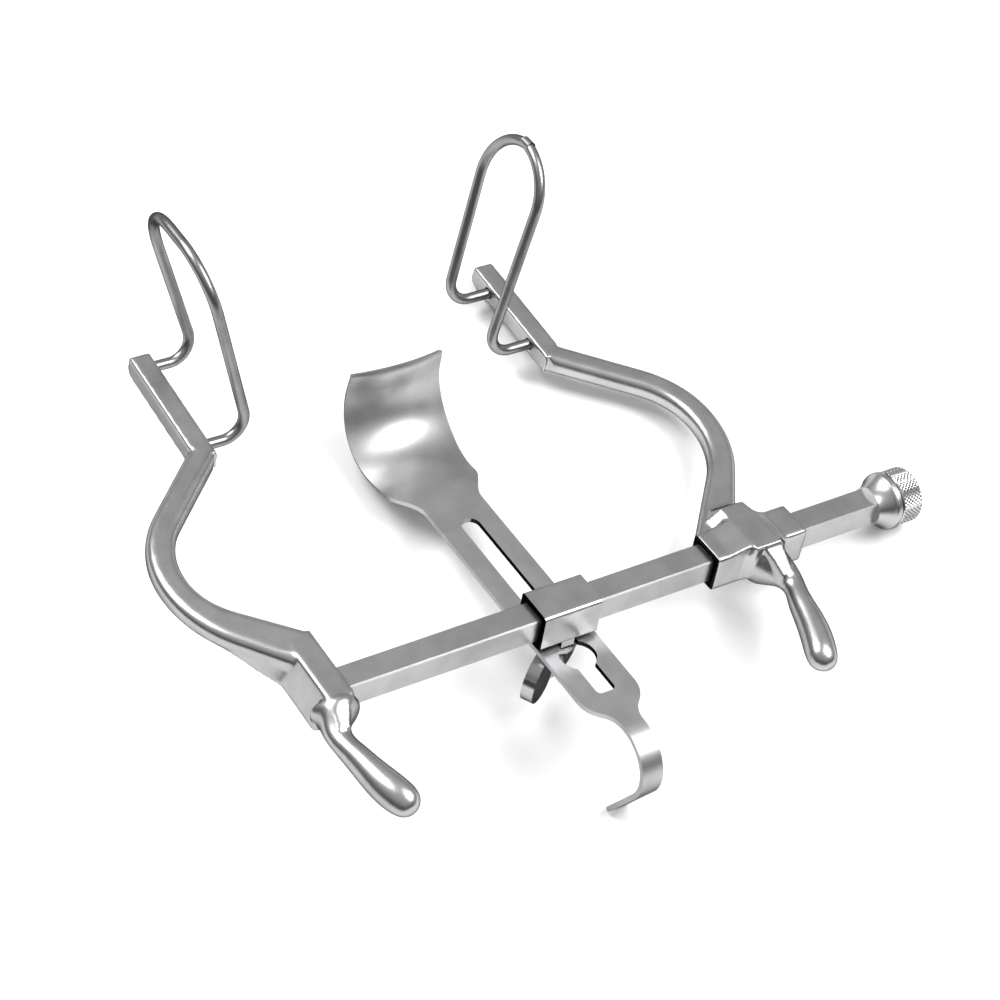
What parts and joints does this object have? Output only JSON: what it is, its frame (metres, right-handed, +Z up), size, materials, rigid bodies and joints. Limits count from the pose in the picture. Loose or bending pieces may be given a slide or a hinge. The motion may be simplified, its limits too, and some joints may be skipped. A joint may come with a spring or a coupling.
{
  "type": "abdominal_retractor",
  "caption": "Self-retaining abdominal retractor: two bowed arms with wire side blades on a square bar and a slotted saddle-shaped centre blade clamped by a wing nut.",
  "frame": {"origin": "Centre line of the square bar at the inner face of the fixed arm.", "axes": "+X along the bar from the fixed arm to the end knob, +Y from the handles towards the blades, +Z up, towards the tops of the wire blades."},
  "size_m": [0.2632, 0.2218, 0.1305],
  "materials": {
    "satin_steel": "satin, edges polished bright",
    "satin_sheet": "satin strip with a polished saddle",
    "polished_wire": "fine satin drawn wire",
    "turned_steel": "turned and polished",
    "knurled_steel": "diamond knurl"
  },
  "bodies": {
    "frame": {"cross_bar": "satin_steel", "fixed_arm": "satin_steel", "fixed_wire_blade": "polished_wire", "stop_collar": "turned_steel"},
    "arm": {"sliding_arm": "satin_steel", "sliding_wire_blade": "polished_wire"},
    "carriage": {"blade_carriage": "satin_steel", "clamp_stud": "turned_steel"},
    "blade": {"center_blade": "satin_sheet"},
    "nut": {"wing_nut": "turned_steel"},
    "knob": {"end_knob": "knurled_steel"}
  },
  "joints": [
    {"name": "arm_slide", "type": "slide", "parent": "frame", "child": "arm", "axis": [1, 0, 0], "range_m": [-0.012, 0.03]},
    {"name": "carriage_slide", "type": "slide", "parent": "frame", "child": "carriage", "axis": [1, 0, 0], "range_m": [-0.034, 0.005]},
    {"name": "blade_slide", "type": "slide", "parent": "carriage", "child": "blade", "axis": [0, 1, 0], "range_m": [-0.048, 0.022]},
    {"name": "nut_turn", "type": "hinge", "parent": "carriage", "child": "nut", "pos_m": [0.0817, 0, -0.012], "axis": [0, 0, 1], "continuous": true},
    {"name": "knob_turn", "type": "hinge", "parent": "frame", "child": "knob", "pos_m": [0.2185, 0, 0], "axis": [1, 0, 0], "continuous": true}
  ]
}
